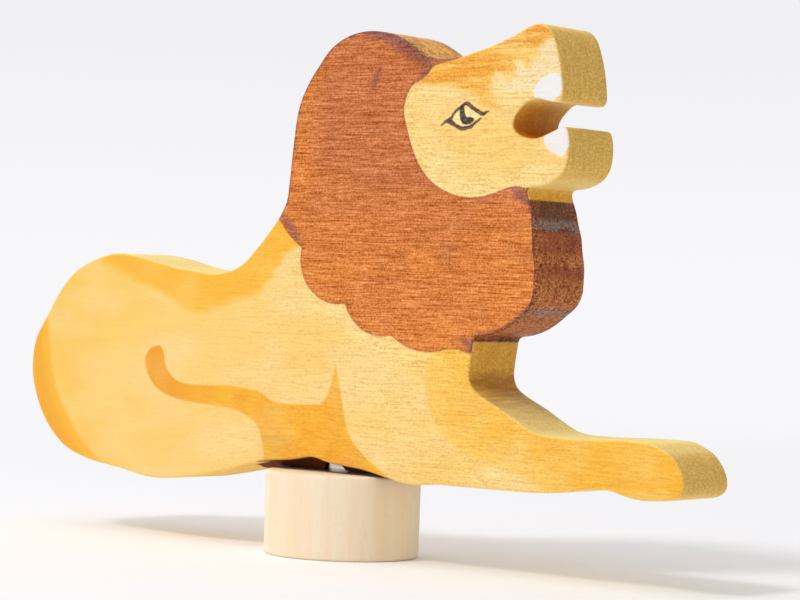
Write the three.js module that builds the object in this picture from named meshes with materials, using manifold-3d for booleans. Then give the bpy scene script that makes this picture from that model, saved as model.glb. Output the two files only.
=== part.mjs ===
// A lion sawn from one board, carried above a turned wooden base by a steel pin.
// Millimetres, +Z up. The origin is the centre of the base's bottom face. +X runs to the muzzle and the
// front paw, and the board's two broad faces look along -Y and +Y.
import * as THREE from 'three';
import { mergeVertices } from 'three/addons/utils/BufferGeometryUtils.js';
import Module from 'manifold-3d';

const wasm = await Module();
wasm.setup();

// Driving dimensions
const FIGURE_LENGTH = 108.7; // rump to paw
const FIGURE_HEIGHT = 59.1; // underside of the haunch to the top of the muzzle
const BOARD_THICKNESS = 9.5;
const EDGE_ROUND = 0.35; // sanded round along both edges of the sawn outline
const CORNER_EASE_SHARE = 2.3; // length of a sawn corner's easing, as a share of the sanded round
const BASE_DIAMETER = 20;
const BASE_HEIGHT = 10.7;
const BASE_CHAMFER = 0.4;
const BELLY_GAP = 1.9; // base top to the peak of the belly arch
const PIN_DIAMETER = 4.2;
const PIN_LENGTH = 20;
const PIN_SEAT_IN_BASE = 6.5;
const PIN_CHAMFER = 0.4;
const BORE_CLEARANCE = 0.3; // round the pin and past each of its ends
const CUT_OVERRUN = 1; // how far a cutter runs past the face that it opens

// Where the pin meets the figure, as shares of the length from the rump and of the height from the haunch
const PIN_STATION_SHARE = 0.4937;
const BELLY_PEAK_SHARE = 0.0789;

// Facets
const STEPS_PER_SPAN = 3; // chords between two neighbouring points of the outline
const STEPS_PER_CORNER = 3;
const STEPS_PER_ROUND = 3; // bands across each sanded edge
const LEAST_STEP_SHARE = 0.6; // shortest chord of the outline, as a share of the sanded round
const BASE_SIDES = 72;
const PIN_SIDES = 32;

// The outline runs clockwise as seen from -Y. Each stretch is one smooth curve, and a sawn corner stands
// where two stretches meet. Points are [share of the length from the rump, share of the height].
const RUMP_AND_BACK_SHARES = [
  [0.212, 0.0], [0.163, 0.014], [0.105, 0.028], [0.062, 0.055], [0.027, 0.112], [0.0065, 0.18],
  [0.0, 0.238], [0.006, 0.301], [0.024, 0.353], [0.046, 0.413], [0.074, 0.462], [0.112, 0.493],
  [0.145, 0.506], [0.176, 0.503], [0.212, 0.492], [0.246, 0.479], [0.28, 0.473], [0.308, 0.467],
  [0.337, 0.474], [0.36, 0.493], [0.38, 0.526], [0.413, 0.592], [0.4255, 0.63],
];
const MANE_AND_BROW_SHARES = [
  [0.4255, 0.63], [0.4285, 0.678], [0.432, 0.748], [0.438, 0.83], [0.45, 0.88], [0.467, 0.923],
  [0.486, 0.963], [0.512, 0.988], [0.54, 0.997], [0.567, 0.993], [0.592, 0.979], [0.614, 0.957],
  [0.629, 0.941], [0.648, 0.933], [0.68, 0.9365], [0.706, 0.949], [0.732, 0.963], [0.758, 0.982],
  [0.776, 0.996], [0.788, 1.0], [0.799, 0.993], [0.807, 0.978], [0.8135, 0.95], [0.819, 0.915],
  [0.8225, 0.88], [0.824, 0.84],
];
const MOUTH_SHARES = [
  [0.824, 0.84], [0.81, 0.839], [0.799, 0.842], [0.79, 0.846], [0.778, 0.842], [0.766, 0.824],
  [0.758, 0.804], [0.758, 0.786], [0.766, 0.774], [0.776, 0.768], [0.786, 0.766], [0.799, 0.772],
  [0.8295, 0.794],
];
const JAW_SHARES = [
  [0.8295, 0.794], [0.834, 0.766], [0.8345, 0.738], [0.832, 0.711], [0.8245, 0.69], [0.812, 0.677],
  [0.797, 0.6695], [0.7785, 0.666],
];
const CHEST_SHARES = [
  [0.7785, 0.666], [0.782, 0.645], [0.7875, 0.62], [0.7905, 0.596], [0.7955, 0.568], [0.7975, 0.54],
  [0.801, 0.51], [0.801, 0.478], [0.7995, 0.449], [0.792, 0.424], [0.7775, 0.403], [0.764, 0.385],
  [0.749, 0.3705], [0.733, 0.361], [0.713, 0.3565],
];
const THROAT_AND_LEG_SHARES = [
  [0.713, 0.3565], [0.7115, 0.33], [0.709, 0.3], [0.7085, 0.27], [0.714, 0.25], [0.728, 0.233],
  [0.753, 0.212], [0.781, 0.185], [0.805, 0.166], [0.836, 0.162], [0.876, 0.163], [0.92, 0.166],
  [0.956, 0.165],
];
const PAW_SHARES = [
  [0.956, 0.165], [0.97, 0.154], [0.982, 0.143], [0.9935, 0.12], [1.0, 0.094], [0.999, 0.072],
  [0.989, 0.058], [0.969, 0.052], [0.943, 0.05], [0.924, 0.055], [0.902, 0.064], [0.88, 0.062],
  [0.838, 0.05], [0.795, 0.045], [0.745, 0.044],
];
const HAUNCH_UNDERSIDE_SHARES = [[0.3, 0.0155], [0.256, 0.003], [0.212, 0.0]];

// The belly arch clears the base, so its points are shares of the base's radius and of the belly gap
const ARCH_FRONT_SHARES = [
  [1.9, -0.1], [1.5, -0.27], [1.2, -0.08], [0.88, 0.24], [0.62, 0.44], [0.31, 0.57], [0.1, 0.7],
  [-0.12, 1.0],
];
const ARCH_BACK_SHARES = [
  [-0.12, 1.0], [-0.2, 0.965], [-0.37, 0.78], [-0.55, 0.63], [-0.92, 0.43], [-1.22, 0.17],
  [-1.57, -0.37],
];

const pinRadius = PIN_DIAMETER / 2;
const boreRadius = pinRadius + BORE_CLEARANCE;
const baseRadius = BASE_DIAMETER / 2;
const pinRiseAboveBase = PIN_LENGTH - PIN_SEAT_IN_BASE;
const figureBoreDepth = pinRiseAboveBase - BELLY_GAP + BORE_CLEARANCE;

// Places outline points in the figure's frame: x from the pin's axis, y up from the belly arch's peak
function fromFigureShares(shares) {
  return shares.map(([along, up]) => new THREE.Vector3(
    (along - PIN_STATION_SHARE) * FIGURE_LENGTH,
    (up - BELLY_PEAK_SHARE) * FIGURE_HEIGHT,
    0,
  ));
}

function fromArchShares(shares) {
  return shares.map(([along, up]) => new THREE.Vector3(along * baseRadius, (up - 1) * BELLY_GAP, 0));
}

// Samples one smooth stretch through its points
function sampleStretch(points) {
  const curve = new THREE.CatmullRomCurve3(points, false, 'centripetal');
  return curve.getPoints((points.length - 1) * STEPS_PER_SPAN);
}

// Cuts a polyline back from its far end by a length, and returns it with its new end
function trimEnd(points, length) {
  const kept = points.slice();
  let left = length;
  while (kept.length > 2) {
    const end = kept[kept.length - 1];
    const before = kept[kept.length - 2];
    const chord = end.distanceTo(before);
    if (chord > left) {
      kept[kept.length - 1] = end.clone().lerp(before, left / chord);
      break;
    }
    left -= chord;
    kept.pop();
  }
  return kept;
}

function trimStart(points, length) {
  return trimEnd(points.slice().reverse(), length).reverse();
}

// Leaves out each point of a closed ring that lies too near the one kept before it
function dropShortSteps(ring, leastStep) {
  const kept = [];
  ring.forEach((point) => {
    const previous = kept[kept.length - 1];
    if (!previous || previous.distanceTo(point) > leastStep) kept.push(point);
  });
  if (kept[0].distanceTo(kept[kept.length - 1]) <= leastStep) kept.pop();
  return kept;
}

// Joins the stretches into one closed ring, with each sawn corner eased by a short curve
function joinStretches(stretches) {
  const ease = EDGE_ROUND * CORNER_EASE_SHARE;
  const trimmed = stretches.map((points) => trimStart(trimEnd(points, ease), ease));
  const ring = [];
  trimmed.forEach((points, index) => {
    const next = trimmed[(index + 1) % trimmed.length];
    const corner = stretches[index][stretches[index].length - 1];
    const bend = new THREE.QuadraticBezierCurve3(points[points.length - 1], corner, next[0]);
    ring.push(...points, ...bend.getPoints(STEPS_PER_CORNER).slice(1, -1));
  });
  return dropShortSteps(ring, EDGE_ROUND * LEAST_STEP_SHARE);
}

function figureOutline() {
  const soleAndArch = [...fromFigureShares(PAW_SHARES), ...fromArchShares(ARCH_FRONT_SHARES)];
  const archAndHaunch = [
    ...fromArchShares(ARCH_BACK_SHARES),
    ...fromFigureShares(HAUNCH_UNDERSIDE_SHARES),
    ...fromFigureShares(RUMP_AND_BACK_SHARES).slice(1),
  ];
  const others = [MANE_AND_BROW_SHARES, MOUTH_SHARES, JAW_SHARES, CHEST_SHARES, THROAT_AND_LEG_SHARES];
  const stretches = [
    sampleStretch(archAndHaunch),
    ...others.map((shares) => sampleStretch(fromFigureShares(shares))),
    sampleStretch(soleAndArch),
  ];
  return joinStretches(stretches).reverse();
}

// Draws a closed ring inward by a share of the sanded round, each point along the bisector of its corner.
// The round is smaller where the ring bends too tightly for it.
function insetRing(ring, roundShare) {
  return ring.map((point, index) => {
    const before = ring[(index + ring.length - 1) % ring.length];
    const after = ring[(index + 1) % ring.length];
    const incoming = point.clone().sub(before).normalize();
    const outgoing = after.clone().sub(point).normalize();
    const along = incoming.clone().add(outgoing).normalize();
    const halfTurnCosine = Math.max(along.dot(incoming), Math.SQRT1_2);
    const halfTurnSine = incoming.clone().cross(along).z;
    const shorterChord = Math.min(point.distanceTo(before), point.distanceTo(after));
    const room = halfTurnSine > 0 ? (shorterChord / 2) * (halfTurnCosine / halfTurnSine) : Infinity;
    const inset = (Math.min(EDGE_ROUND, room) * roundShare) / halfTurnCosine;
    return new THREE.Vector3(-along.y, along.x, 0).multiplyScalar(inset).add(point);
  });
}

// Skins a stack of equal rings into one closed body. A ring's y becomes height, and depth runs along Y.
function skinRings(layers) {
  const count = layers[0].ring.length;
  const positions = layers.flatMap(
    ({ ring, depth }) => ring.flatMap((point) => [point.x, depth, point.y]),
  );
  const indices = [];
  for (let layer = 0; layer < layers.length - 1; layer += 1) {
    for (let i = 0; i < count; i += 1) {
      const a = layer * count + i;
      const b = layer * count + ((i + 1) % count);
      indices.push(a, b + count, b, a, a + count, b + count);
    }
  }
  const last = (layers.length - 1) * count;
  THREE.ShapeUtils.triangulateShape(layers[0].ring, []).forEach(([a, b, c]) => {
    indices.push(a, b, c);
  });
  THREE.ShapeUtils.triangulateShape(layers[layers.length - 1].ring, []).forEach(([a, b, c]) => {
    indices.push(last + a, last + c, last + b);
  });
  const geometry = new THREE.BufferGeometry();
  geometry.setAttribute('position', new THREE.Float32BufferAttribute(positions, 3));
  geometry.setIndex(indices);
  return geometry;
}

// The board: full size between the two sanded edges, and drawn in along a quarter round at each face
function boardGeometry(ring) {
  const half = BOARD_THICKNESS / 2;
  const front = [];
  for (let step = 0; step <= STEPS_PER_ROUND; step += 1) {
    const angle = (step / STEPS_PER_ROUND) * (Math.PI / 2);
    front.push({
      ring: insetRing(ring, 1 - Math.sin(angle)),
      depth: -half + EDGE_ROUND * (1 - Math.cos(angle)),
    });
  }
  const back = front.map(({ ring: inset, depth }) => ({ ring: inset, depth: -depth })).reverse();
  return skinRings([...front, ...back]);
}

function toSolid(geometry) {
  const bare = geometry.clone();
  bare.deleteAttribute('normal');
  bare.deleteAttribute('uv');
  const merged = mergeVertices(bare);
  return new wasm.Manifold(new wasm.Mesh({
    numProp: 3,
    vertProperties: new Float32Array(merged.attributes.position.array),
    triVerts: new Uint32Array(merged.index.array),
  }));
}

function toGeometry(solid) {
  const mesh = solid.getMesh();
  const geometry = new THREE.BufferGeometry();
  geometry.setAttribute('position', new THREE.BufferAttribute(mesh.vertProperties, 3));
  geometry.setIndex(new THREE.BufferAttribute(mesh.triVerts, 1));
  return geometry;
}

// A revolved body about Z from points of [radius, height]
function revolve(points, sides) {
  const profile = points.map(([radius, height]) => new THREE.Vector2(radius, height));
  return new THREE.LatheGeometry(profile, sides).rotateX(Math.PI / 2);
}

function lionGeometry() {
  const cutterLength = figureBoreDepth + CUT_OVERRUN;
  const cutter = new THREE.CylinderGeometry(boreRadius, boreRadius, cutterLength, PIN_SIDES)
    .rotateX(Math.PI / 2)
    .translate(0, 0, figureBoreDepth - cutterLength / 2);
  return toGeometry(toSolid(boardGeometry(figureOutline())).subtract(toSolid(cutter)));
}

function pinGeometry() {
  return revolve([
    [0, 0],
    [pinRadius - PIN_CHAMFER, 0],
    [pinRadius, PIN_CHAMFER],
    [pinRadius, PIN_LENGTH - PIN_CHAMFER],
    [pinRadius - PIN_CHAMFER, PIN_LENGTH],
    [0, PIN_LENGTH],
  ], PIN_SIDES);
}

function baseGeometry() {
  const boreFloor = BASE_HEIGHT - PIN_SEAT_IN_BASE - BORE_CLEARANCE;
  return revolve([
    [0, 0],
    [baseRadius - BASE_CHAMFER, 0],
    [baseRadius, BASE_CHAMFER],
    [baseRadius, BASE_HEIGHT - BASE_CHAMFER],
    [baseRadius - BASE_CHAMFER, BASE_HEIGHT],
    [boreRadius, BASE_HEIGHT],
    [boreRadius, boreFloor],
    [0, boreFloor],
  ], BASE_SIDES);
}

function addPiece(group, name, geometry, look, height) {
  geometry.computeVertexNormals();
  const mesh = new THREE.Mesh(geometry, new THREE.MeshStandardMaterial(look));
  mesh.name = name;
  mesh.position.z = height;
  group.add(mesh);
}

const toy = new THREE.Group();
addPiece(toy, 'wooden_base', baseGeometry(), { color: 0xf0d9b8, roughness: 0.7, metalness: 0 }, 0);
addPiece(
  toy, 'metal_pin', pinGeometry(),
  { color: 0xc9c9cc, roughness: 0.2, metalness: 1 },
  BASE_HEIGHT - PIN_SEAT_IN_BASE,
);
addPiece(
  toy, 'lion_figure', lionGeometry(),
  { color: 0xf2c06a, roughness: 0.6, metalness: 0 },
  BASE_HEIGHT + BELLY_GAP,
);

export default toy;
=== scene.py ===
"""A lion sawn from one board and painted by hand, on a steel pin in a turned wooden base.

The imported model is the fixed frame. Each of its three pieces is replaced by a finely modelled one of the
same shape and place, which is painted and finished with procedural materials.
"""

import logging
import math
from dataclasses import dataclass
from enum import Enum
from typing import Any

import bmesh
import bpy
import numpy as np
from bpy.types import ColorRamp, Material, Mesh, Node, NodeSocket, NodeTree, Object
from mathutils import Matrix, Vector
from mathutils.geometry import delaunay_2d_cdt


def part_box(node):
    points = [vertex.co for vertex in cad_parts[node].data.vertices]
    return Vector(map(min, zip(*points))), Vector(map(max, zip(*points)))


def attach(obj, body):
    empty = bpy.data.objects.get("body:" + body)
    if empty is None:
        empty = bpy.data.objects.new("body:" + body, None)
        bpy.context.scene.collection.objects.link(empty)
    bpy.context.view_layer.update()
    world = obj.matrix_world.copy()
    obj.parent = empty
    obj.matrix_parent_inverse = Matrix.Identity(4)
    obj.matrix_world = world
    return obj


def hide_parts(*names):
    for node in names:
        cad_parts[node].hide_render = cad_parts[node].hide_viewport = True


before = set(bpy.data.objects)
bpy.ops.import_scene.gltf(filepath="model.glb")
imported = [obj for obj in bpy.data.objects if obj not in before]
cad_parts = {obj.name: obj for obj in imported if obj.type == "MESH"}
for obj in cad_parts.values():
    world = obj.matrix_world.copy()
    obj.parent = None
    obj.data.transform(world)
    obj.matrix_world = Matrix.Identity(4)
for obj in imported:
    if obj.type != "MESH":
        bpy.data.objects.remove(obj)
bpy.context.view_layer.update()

log = logging.getLogger("lion")

MM = 0.001  # metres in a millimetre; sizes below are in millimetres unless a name says otherwise
TINY = 1e-6  # what counts as nothing
CHORDS = 6  # chords between two neighbouring points of a smooth stretch
MERGE_M = 2e-6
NOISE_MIDDLE = 0.5
STAIN_SHARES = (0.62, 1.0, 1.75)  # how strongly a stain works on red, green and blue
MATT = {"Specular IOR Level": 0.2}

Array = np.ndarray
Point = tuple[float, float]
Stretch = tuple[Point, ...]
Axes = tuple[float, float, float]
Colour = tuple[float, float, float, float]


def paint(red: int, green: int, blue: int) -> Colour:
    """Turns a colour as seen on a screen into the linear colour that a shader takes.

    Args:
        red: Red, 0 to 255.
        green: Green, 0 to 255.
        blue: Blue, 0 to 255.

    Returns:
        The linear colour with full alpha.
    """
    shares = [level / 255 for level in (red, green, blue)]
    linear = [s / 12.92 if s <= 0.04045 else ((s + 0.055) / 1.055) ** 2.4 for s in shares]
    return (linear[0], linear[1], linear[2], 1.0)


class Side(Enum):
    """The two broad faces of the board, by the sign of their Y."""

    FRONT = -1
    BACK = 1


# Node trees


class TreeBuilder:
    """Adds nodes to a node tree, each with its settings first and its sockets after."""

    def __init__(self, tree: NodeTree) -> None:
        """Takes the tree that the nodes go into."""
        self.tree = tree

    def feed(self, socket: NodeSocket, value: Any) -> None:
        """Links a socket or sets its value.

        Args:
            socket: The input socket.
            value: A Channel, an output socket, or a plain value.
        """
        if isinstance(value, Channel):
            value = value.socket
        if isinstance(value, NodeSocket):
            self.tree.links.new(value, socket)
        else:
            socket.default_value = value

    def set_stops(self, ramp: ColorRamp, stops: tuple[tuple[float, Colour], ...]) -> None:
        """Fills a colour ramp.

        Args:
            ramp: The new node's ramp, which still has its own two stops.
            stops: Each stop's place and colour, in rising order.
        """
        for index, (place, colour) in enumerate(stops):
            stop = ramp.elements[index] if index < 2 else ramp.elements.new(place)
            stop.position = place
            stop.color = colour

    def node(self, kind: str, inputs: dict[Any, Any] | None = None, **settings: Any) -> Node:
        """Makes one node.

        Args:
            kind: The node's type name.
            inputs: Values or links of its sockets, by name or index.
            settings: The node's own properties, which are set first, and the stops of a colour ramp.

        Returns:
            The node.
        """
        made = self.tree.nodes.new(kind)
        for key, value in settings.items():
            if key == "stops":
                self.set_stops(made.color_ramp, value)
            else:
                setattr(made, key, value)
        for key, value in (inputs or {}).items():
            self.feed(made.inputs[key], value)
        return made

    def channel(self, kind: str, inputs: Any = None, output: Any = 0, **settings: Any) -> "Channel":
        """Makes one node and wraps one of its outputs."""
        return Channel(self, self.node(kind, inputs, **settings).outputs[output])

    def vector(self, operation: str, inputs: dict[Any, Any]) -> NodeSocket:
        """Adds a Vector Math node and gives its vector."""
        return self.node("ShaderNodeVectorMath", inputs, operation=operation).outputs[0]

    def mix(self, factor: Any, first: Any, second: Any) -> NodeSocket:
        """Mixes two colours, from the first at factor 0 to the second at 1."""
        return self.node("ShaderNodeMix", {0: factor, 6: first, 7: second}, data_type="RGBA").outputs[2]


class Channel:
    """A shader value that Python's operators work on, each adding a Math node."""

    def __init__(self, builder: TreeBuilder, socket: NodeSocket) -> None:
        """Wraps an output socket of a tree."""
        self.builder = builder
        self.socket = socket

    def math(self, operation: str, *others: Any, reverse: bool = False) -> "Channel":
        """Adds a Math node, in which this value comes first, or last if reversed."""
        operands = [*others, self] if reverse else [self, *others]
        return self.builder.channel("ShaderNodeMath", dict(enumerate(operands)), operation=operation)

    def __add__(self, other: Any) -> "Channel":
        """Sum."""
        return self.math("ADD", other)

    __radd__ = __add__

    def __mul__(self, other: Any) -> "Channel":
        """Product."""
        return self.math("MULTIPLY", other)

    __rmul__ = __mul__

    def __sub__(self, other: Any) -> "Channel":
        """Difference."""
        return self.math("SUBTRACT", other)

    def __rsub__(self, other: Any) -> "Channel":
        """Difference, with this value taken away."""
        return self.math("SUBTRACT", other, reverse=True)

    def __truediv__(self, other: Any) -> "Channel":
        """Quotient."""
        return self.math("DIVIDE", other)

    def __rtruediv__(self, other: Any) -> "Channel":
        """Quotient, with this value below."""
        return self.math("DIVIDE", other, reverse=True)

    def __or__(self, other: Any) -> "Channel":
        """The larger of two masks, which is where either of them is."""
        return self.math("MAXIMUM", other)

    def sway(self, reach: Any) -> "Channel":
        """Swings a noise round 0, over this reach in all."""
        return (self - NOISE_MIDDLE) * reach

    def between(self, low: float, high: float) -> "Channel":
        """Turns a mask's 0 into low and its 1 into high."""
        return self * (high - low) + low

    def step(self, low: float, high: float) -> "Channel":
        """Rises smoothly from 0 at low to 1 at high, which may be below low."""
        span = {"Value": self, "From Min": low, "From Max": high}
        return self.builder.channel("ShaderNodeMapRange", span, "Result", interpolation_type="SMOOTHSTEP")


class ShaderBuilder(TreeBuilder):
    """Builds one material around a Principled shader, in coats over a first colour."""

    def __init__(self, name: str, first: Colour) -> None:
        """Starts an empty material.

        Args:
            name: The material's name.
            first: The colour under all coats.
        """
        self.material = bpy.data.materials.new(name)
        self.material.use_nodes = True
        super().__init__(self.material.node_tree)
        self.tree.nodes.clear()
        self.coordinates = self.node("ShaderNodeTexCoord").outputs["Object"]
        self.colour: Any = first

    def noise(self, stretch: Axes, per_mm: float, detail: float, roughness: float, seed: float) -> Channel:
        """Soft noise on the object, from about 0 to 1.

        Args:
            stretch: How fast it changes along X, Y and Z.
            per_mm: Cells in a millimetre.
            detail: How many finer layers it has.
            roughness: How strong the finer layers are.
            seed: Picks one pattern.

        Returns:
            The noise.
        """
        scale = tuple(share * per_mm / MM for share in stretch)
        place = self.vector("MULTIPLY", {0: self.coordinates, 1: scale})
        sockets = {"Vector": place, "W": seed, "Scale": 1.0, "Detail": detail, "Roughness": roughness}
        return self.channel("ShaderNodeTexNoise", sockets, "Fac", noise_dimensions="4D")

    def attribute(self, name: str) -> Channel:
        """A number that the mesh carries at each vertex."""
        return self.channel("ShaderNodeAttribute", None, "Fac", attribute_name=name)

    def lay(self, colour: Any, mask: Channel, strength: float = 1.0) -> None:
        """Lays a colour over the coats so far, where its mask is and as strongly as told."""
        self.colour = self.mix(mask * strength, self.colour, colour)

    def stain(self, level: Channel) -> None:
        """Deepens the colour where the level is below 0, most in blue and least in red, or lightens it."""
        share = self.vector("SCALE", {0: STAIN_SHARES, "Scale": level})
        self.colour = self.vector("MULTIPLY_ADD", {0: share, 1: self.colour, 2: self.colour})

    def finish(
        self, roughness: Channel, relief: Channel, relief_mm: float, constants: dict[str, float]
    ) -> Material:
        """Ends the material with its Principled shader.

        Args:
            roughness: Roughness.
            relief: The fine relief, from 0 to 1.
            relief_mm: How deep the relief is.
            constants: Other sockets, with one value all over.

        Returns:
            The material.
        """
        depth = {"Height": relief, "Distance": relief_mm * MM, "Strength": 1.0}
        normal = self.node("ShaderNodeBump", depth).outputs["Normal"]
        sockets = {"Base Color": self.colour, "Roughness": roughness, "Normal": normal, **constants}
        shader = self.node("ShaderNodeBsdfPrincipled", sockets)
        self.node("ShaderNodeOutputMaterial", {"Surface": shader.outputs["BSDF"]})
        return self.material


class FormBuilder(TreeBuilder):
    """Builds one Geometry Nodes tree with named inputs for its sizes."""

    def __init__(self, name: str, sizes: dict[str, str]) -> None:
        """Starts the tree.

        Args:
            name: The tree's name.
            sizes: Each input's name and socket type, after the geometry.
        """
        super().__init__(bpy.data.node_groups.new(name, "GeometryNodeTree"))
        face = self.tree.interface
        face.new_socket("Geometry", in_out="INPUT", socket_type="NodeSocketGeometry")
        self.sockets = {
            label: face.new_socket(label, in_out="INPUT", socket_type=kind).identifier
            for label, kind in sizes.items()
        }
        face.new_socket("Geometry", in_out="OUTPUT", socket_type="NodeSocketGeometry")
        self.given = self.node("NodeGroupInput").outputs

    def size(self, label: str) -> Channel:
        """One of the named inputs."""
        return Channel(self, self.given[label])

    def close(self, geometry: NodeSocket) -> None:
        """Ends the tree in Realize Instances and Set Material.

        Args:
            geometry: What the tree has made.
        """
        real = self.node("GeometryNodeRealizeInstances", {"Geometry": geometry})
        dress = {"Geometry": real.outputs[0], "Material": self.given["Material"]}
        self.node("NodeGroupOutput", {0: self.node("GeometryNodeSetMaterial", dress).outputs[0]})

    def apply(self, piece: Object, values: dict[str, Any]) -> None:
        """Runs the tree on a piece and keeps the result as the piece's plain mesh.

        Args:
            piece: The piece.
            values: A value for each named input.
        """
        modifier = piece.modifiers.new(self.tree.name, "NODES")
        modifier.node_group = self.tree
        for label, value in values.items():
            modifier[self.sockets[label]] = value
        keep_evaluated(piece)


# Meshes


def keep_evaluated(piece: Object) -> None:
    """Replaces a piece's mesh by what its modifiers make of it, and removes them.

    Args:
        piece: The piece.
    """
    bpy.context.view_layer.update()
    evaluated = piece.evaluated_get(bpy.context.evaluated_depsgraph_get())
    made = bpy.data.meshes.new_from_object(evaluated)
    made.name = piece.name
    piece.modifiers.clear()
    piece.data = made


def add_object(name: str, data: Any) -> Object:
    """Puts a new object into the scene, at the origin.

    Args:
        name: The object's name.
        data: Its mesh, lamp or camera.

    Returns:
        The object.
    """
    made = bpy.data.objects.new(name, data)
    bpy.context.scene.collection.objects.link(made)
    return made


def new_piece(name: str, vertices: Array, edges: list[tuple[int, int]], faces: list[list[int]]) -> Object:
    """Makes an object of a mesh given in millimetres in the part's frame.

    Args:
        name: The piece's name.
        vertices: One row of X, Y and Z for each vertex.
        edges: Pairs of vertex numbers, for a mesh without faces.
        faces: Lists of vertex numbers.

    Returns:
        The object, which sits at the origin.
    """
    mesh = bpy.data.meshes.new(name)
    mesh.from_pydata((vertices * MM).tolist(), edges, faces)
    mesh.update()
    return add_object(name, mesh)


def face_outwards(piece: Object) -> None:
    """Merges a piece's doubles, turns its faces outwards and shades them smooth.

    Args:
        piece: The piece.
    """
    work = bmesh.new()
    work.from_mesh(piece.data)
    bmesh.ops.remove_doubles(work, verts=work.verts, dist=TINY)
    bmesh.ops.recalc_face_normals(work, faces=work.faces)
    for face in work.faces:
        face.smooth = True
    work.to_mesh(piece.data)
    work.free()


def read_vectors(mesh: Mesh, name: str) -> Array:
    """Reads one of a mesh's vectors at each vertex.

    Args:
        mesh: The mesh.
        name: The vector's name, such as co or normal.

    Returns:
        One row of X, Y and Z for each vertex.
    """
    flat = np.empty(len(mesh.vertices) * 3)
    mesh.vertices.foreach_get(name, flat)
    return flat.reshape(-1, 3)


# Plane geometry


def smooth_stretch(points: Stretch) -> Array:
    """Draws a smooth curve through points.

    Args:
        points: The points.

    Returns:
        The curve's points, the ends among them.
    """
    known = np.array(points, float)
    if len(known) == 2:
        return known
    padded = np.vstack([2 * known[0] - known[1], known, 2 * known[-1] - known[-2]])
    drawn = []
    for index in range(len(known) - 1):
        before, start, end, after = padded[index : index + 4]
        for share in np.arange(CHORDS) / CHORDS:
            first = (end - before) * share
            second = (2 * before - 5 * start + 4 * end - after) * share**2
            third = (3 * start - before - 3 * end + after) * share**3
            drawn.append((2 * start + first + second + third) / 2)
    drawn.append(known[-1])
    return np.array(drawn)


def smooth_share(share: float | Array) -> float | Array:
    """Smooth rise from 0 to 1."""
    held = np.clip(share, 0.0, 1.0)
    return held * held * (3 - 2 * held)


def distance_to_chords(points: Array, chords: Array, widths: Array | None = None) -> Array:
    """Finds how near each point is to a polyline.

    Args:
        points: The points.
        chords: The polyline's points.
        widths: A half width at each of the polyline's points, taken off the distance.

    Returns:
        The distance of each point.
    """
    nearest = np.full(len(points), np.inf)
    for index in range(len(chords) - 1):
        start = chords[index]
        span = chords[index + 1] - start
        length = float(np.hypot(*span))
        if length == 0:
            continue
        offset = points - start
        share = np.clip(offset @ span / length**2, 0, 1)
        away = np.hypot(*(offset - share[:, None] * span).T)
        if widths is not None:
            away = away - (widths[index] + (widths[index + 1] - widths[index]) * share)
        nearest = np.minimum(nearest, away)
    return nearest


def depth_inside(points: Array, ring: Array) -> Array:
    """Measures how deep each point lies inside a closed ring, below 0 outside.

    Args:
        points: The points.
        ring: The ring, without its first point repeated.

    Returns:
        The depth of each point.
    """
    inside = np.zeros(len(points), bool)
    for start, end in zip(ring, np.roll(ring, -1, 0)):
        if start[1] == end[1]:
            continue
        crosses = (start[1] > points[:, 1]) != (end[1] > points[:, 1])
        reach = start[0] + (points[:, 1] - start[1]) * (end[0] - start[0]) / (end[1] - start[1])
        inside ^= crosses & (points[:, 0] < reach)
    away = distance_to_chords(points, np.vstack([ring, ring[:1]]))
    return np.where(inside, away, -away)


def honeycomb(low: Array, high: Array, step: float) -> Array:
    """Lays points in a honeycomb over a box.

    Args:
        low: The box's lowest corner.
        high: Its highest corner.
        step: How far apart the points are.

    Returns:
        The points.
    """
    rows = []
    for number, height in enumerate(np.arange(low[1], high[1], step * math.sqrt(3) / 2)):
        across = np.arange(low[0] + (number % 2) * step / 2, high[0], step)
        rows.append(np.stack([across, np.full(len(across), height)], 1))
    return np.vstack(rows)


# What is painted on the board, in shares of the figure's length from the rump and of its height


class PaintedArea:
    """An area of one colour, bounded by smooth stretches that meet at corners.

    A stretch leaves out its last point, which is the first of the next. A straight one has one point alone.
    """

    def __init__(self, name: str, *stretches: Stretch) -> None:
        """Takes the area's name and the stretches of its border."""
        self.name = name
        self.stretches = stretches

    def ring(self, size: Array) -> Array:
        """Draws the area's border.

        Args:
            size: The figure's length and height.

        Returns:
            The closed ring, from the figure's lowest corner.
        """
        following = self.stretches[1:] + self.stretches[:1]
        drawn = [smooth_stretch((*one, two[0]))[:-1] for one, two in zip(self.stretches, following)]
        return np.vstack(drawn) * size


@dataclass(frozen=True)
class BrushStroke:
    """One stroke of ink, with its half width in millimetres at each of its points."""

    points: Stretch
    half_widths: tuple[float, ...]

    def depth(self, points: Array, size: Array) -> Array:
        """Measures how deep points lie inside the stroke, below 0 outside.

        Args:
            points: Points from the figure's lowest corner.
            size: The figure's length and height.

        Returns:
            The depth of each point.
        """
        line = smooth_stretch(self.points) * size
        known = np.linspace(0, 1, len(self.half_widths))
        widths = np.interp(np.linspace(0, 1, len(line)), known, self.half_widths)
        return -distance_to_chords(points, line, widths)


def corners(*points: Point) -> tuple[Stretch, ...]:
    """Makes straight stretches of a border, one from each of the points."""
    return tuple((point,) for point in points)


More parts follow.
